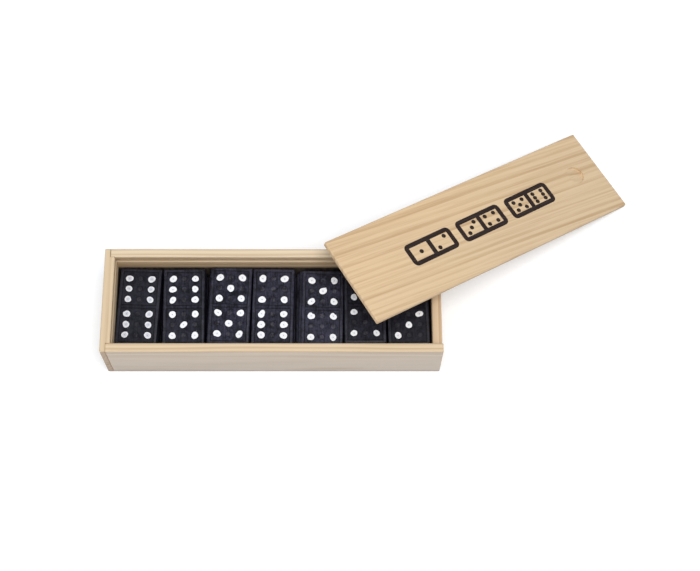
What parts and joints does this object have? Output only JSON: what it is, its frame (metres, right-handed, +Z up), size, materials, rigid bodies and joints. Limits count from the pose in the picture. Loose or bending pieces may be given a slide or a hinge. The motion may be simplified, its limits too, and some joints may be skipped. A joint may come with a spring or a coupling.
{
  "type": "domino storage box",
  "caption": "Pine box with a sliding lid, taken out and leaned on one corner, holding a double six set of black domino tiles with white pips.",
  "frame": {"origin": "middle of the box's underside, on the surface that it stands on", "axes": "+X along the box towards its open end, +Y towards the back board that the lid leans over, +Z up"},
  "size_m": [0.24, 0.1187, 0.045],
  "materials": {
    "board_wood": "sanded bare pine",
    "panel_wood": "sanded bare thin plywood",
    "lid_wood": "sanded bare pine, straight grain along its length",
    "tile_black": "black satin lacquer over a pressed face"
  },
  "bodies": {
    "box": {"end_closed": "board_wood", "end_open": "board_wood", "side_front": "board_wood", "side_back": "board_wood", "bottom_panel": "panel_wood"},
    "lid": {"lid": "lid_wood"},
    "tile_0_0": {"tile_0_0": "tile_black"},
    "tile_3_1": {"tile_3_1": "tile_black"},
    "tile_5_2": {"tile_5_2": "tile_black"},
    "tile_6_6": {"tile_6_6": "tile_black"},
    "tile_1_0": {"tile_1_0": "tile_black"},
    "tile_4_1": {"tile_4_1": "tile_black"},
    "tile_6_2": {"tile_6_2": "tile_black"},
    "tile_6_5": {"tile_6_5": "tile_black"},
    "tile_2_0": {"tile_2_0": "tile_black"},
    "tile_5_1": {"tile_5_1": "tile_black"},
    "tile_3_3": {"tile_3_3": "tile_black"},
    "tile_5_5": {"tile_5_5": "tile_black"},
    "tile_3_0": {"tile_3_0": "tile_black"},
    "tile_6_1": {"tile_6_1": "tile_black"},
    "tile_4_3": {"tile_4_3": "tile_black"},
    "tile_6_4": {"tile_6_4": "tile_black"},
    "tile_4_0": {"tile_4_0": "tile_black"},
    "tile_2_2": {"tile_2_2": "tile_black"},
    "tile_5_3": {"tile_5_3": "tile_black"},
    "tile_5_4": {"tile_5_4": "tile_black"},
    "tile_5_0": {"tile_5_0": "tile_black"},
    "tile_1_1": {"tile_1_1": "tile_black"},
    "tile_3_2": {"tile_3_2": "tile_black"},
    "tile_4_4": {"tile_4_4": "tile_black"},
    "tile_6_0": {"tile_6_0": "tile_black"},
    "tile_2_1": {"tile_2_1": "tile_black"},
    "tile_4_2": {"tile_4_2": "tile_black"},
    "tile_6_3": {"tile_6_3": "tile_black"}
  },
  "joints": [
    {"name": "lid_lift", "type": "slide", "parent": "box", "child": "lid", "axis": [0, 0, 1], "range_m": [0, 0.07]},
    {"name": "lift_0_0", "type": "slide", "parent": "box", "child": "tile_0_0", "axis": [0, 0, 1], "range_m": [0, 0.0265]},
    {"name": "lift_3_1", "type": "slide", "parent": "tile_0_0", "child": "tile_3_1", "axis": [0, 0, 1], "range_m": [0, 0.023]},
    {"name": "lift_5_2", "type": "slide", "parent": "tile_3_1", "child": "tile_5_2", "axis": [0, 0, 1], "range_m": [0, 0.0195]},
    {"name": "lift_6_6", "type": "slide", "parent": "tile_5_2", "child": "tile_6_6", "axis": [0, 0, 1], "range_m": [0, 0.016]},
    {"name": "lift_1_0", "type": "slide", "parent": "box", "child": "tile_1_0", "axis": [0, 0, 1], "range_m": [0, 0.0265]},
    {"name": "lift_4_1", "type": "slide", "parent": "tile_1_0", "child": "tile_4_1", "axis": [0, 0, 1], "range_m": [0, 0.023]},
    {"name": "lift_6_2", "type": "slide", "parent": "tile_4_1", "child": "tile_6_2", "axis": [0, 0, 1], "range_m": [0, 0.0195]},
    {"name": "lift_6_5", "type": "slide", "parent": "tile_6_2", "child": "tile_6_5", "axis": [0, 0, 1], "range_m": [0, 0.016]},
    {"name": "lift_2_0", "type": "slide", "parent": "box", "child": "tile_2_0", "axis": [0, 0, 1], "range_m": [0, 0.0265]},
    {"name": "lift_5_1", "type": "slide", "parent": "tile_2_0", "child": "tile_5_1", "axis": [0, 0, 1], "range_m": [0, 0.023]},
    {"name": "lift_3_3", "type": "slide", "parent": "tile_5_1", "child": "tile_3_3", "axis": [0, 0, 1], "range_m": [0, 0.0195]},
    {"name": "lift_5_5", "type": "slide", "parent": "tile_3_3", "child": "tile_5_5", "axis": [0, 0, 1], "range_m": [0, 0.016]},
    {"name": "lift_3_0", "type": "slide", "parent": "box", "child": "tile_3_0", "axis": [0, 0, 1], "range_m": [0, 0.0265]},
    {"name": "lift_6_1", "type": "slide", "parent": "tile_3_0", "child": "tile_6_1", "axis": [0, 0, 1], "range_m": [0, 0.023]},
    {"name": "lift_4_3", "type": "slide", "parent": "tile_6_1", "child": "tile_4_3", "axis": [0, 0, 1], "range_m": [0, 0.0195]},
    {"name": "lift_6_4", "type": "slide", "parent": "tile_4_3", "child": "tile_6_4", "axis": [0, 0, 1], "range_m": [0, 0.016]},
    {"name": "lift_4_0", "type": "slide", "parent": "box", "child": "tile_4_0", "axis": [0, 0, 1], "range_m": [0, 0.022]},
    {"name": "lift_2_2", "type": "slide", "parent": "tile_4_0", "child": "tile_2_2", "axis": [0, 0, 1], "range_m": [0, 0.022]},
    {"name": "lift_5_3", "type": "slide", "parent": "tile_2_2", "child": "tile_5_3", "axis": [0, 0, 1], "range_m": [0, 0.0195]},
    {"name": "lift_5_4", "type": "slide", "parent": "tile_5_3", "child": "tile_5_4", "axis": [0, 0, 1], "range_m": [0, 0.016]},
    {"name": "lift_5_0", "type": "slide", "parent": "box", "child": "tile_5_0", "axis": [0, 0, 1], "range_m": [0, 0.017]},
    {"name": "lift_1_1", "type": "slide", "parent": "tile_5_0", "child": "tile_1_1", "axis": [0, 0, 1], "range_m": [0, 0.017]},
    {"name": "lift_3_2", "type": "slide", "parent": "tile_1_1", "child": "tile_3_2", "axis": [0, 0, 1], "range_m": [0, 0.017]},
    {"name": "lift_4_4", "type": "slide", "parent": "tile_3_2", "child": "tile_4_4", "axis": [0, 0, 1], "range_m": [0, 0.016]},
    {"name": "lift_6_0", "type": "slide", "parent": "box", "child": "tile_6_0", "axis": [0, 0, 1], "range_m": [0, 0.012]},
    {"name": "lift_2_1", "type": "slide", "parent": "tile_6_0", "child": "tile_2_1", "axis": [0, 0, 1], "range_m": [0, 0.012]},
    {"name": "lift_4_2", "type": "slide", "parent": "tile_2_1", "child": "tile_4_2", "axis": [0, 0, 1], "range_m": [0, 0.012]},
    {"name": "lift_6_3", "type": "slide", "parent": "tile_4_2", "child": "tile_6_3", "axis": [0, 0, 1], "range_m": [0, 0.012]}
  ]
}
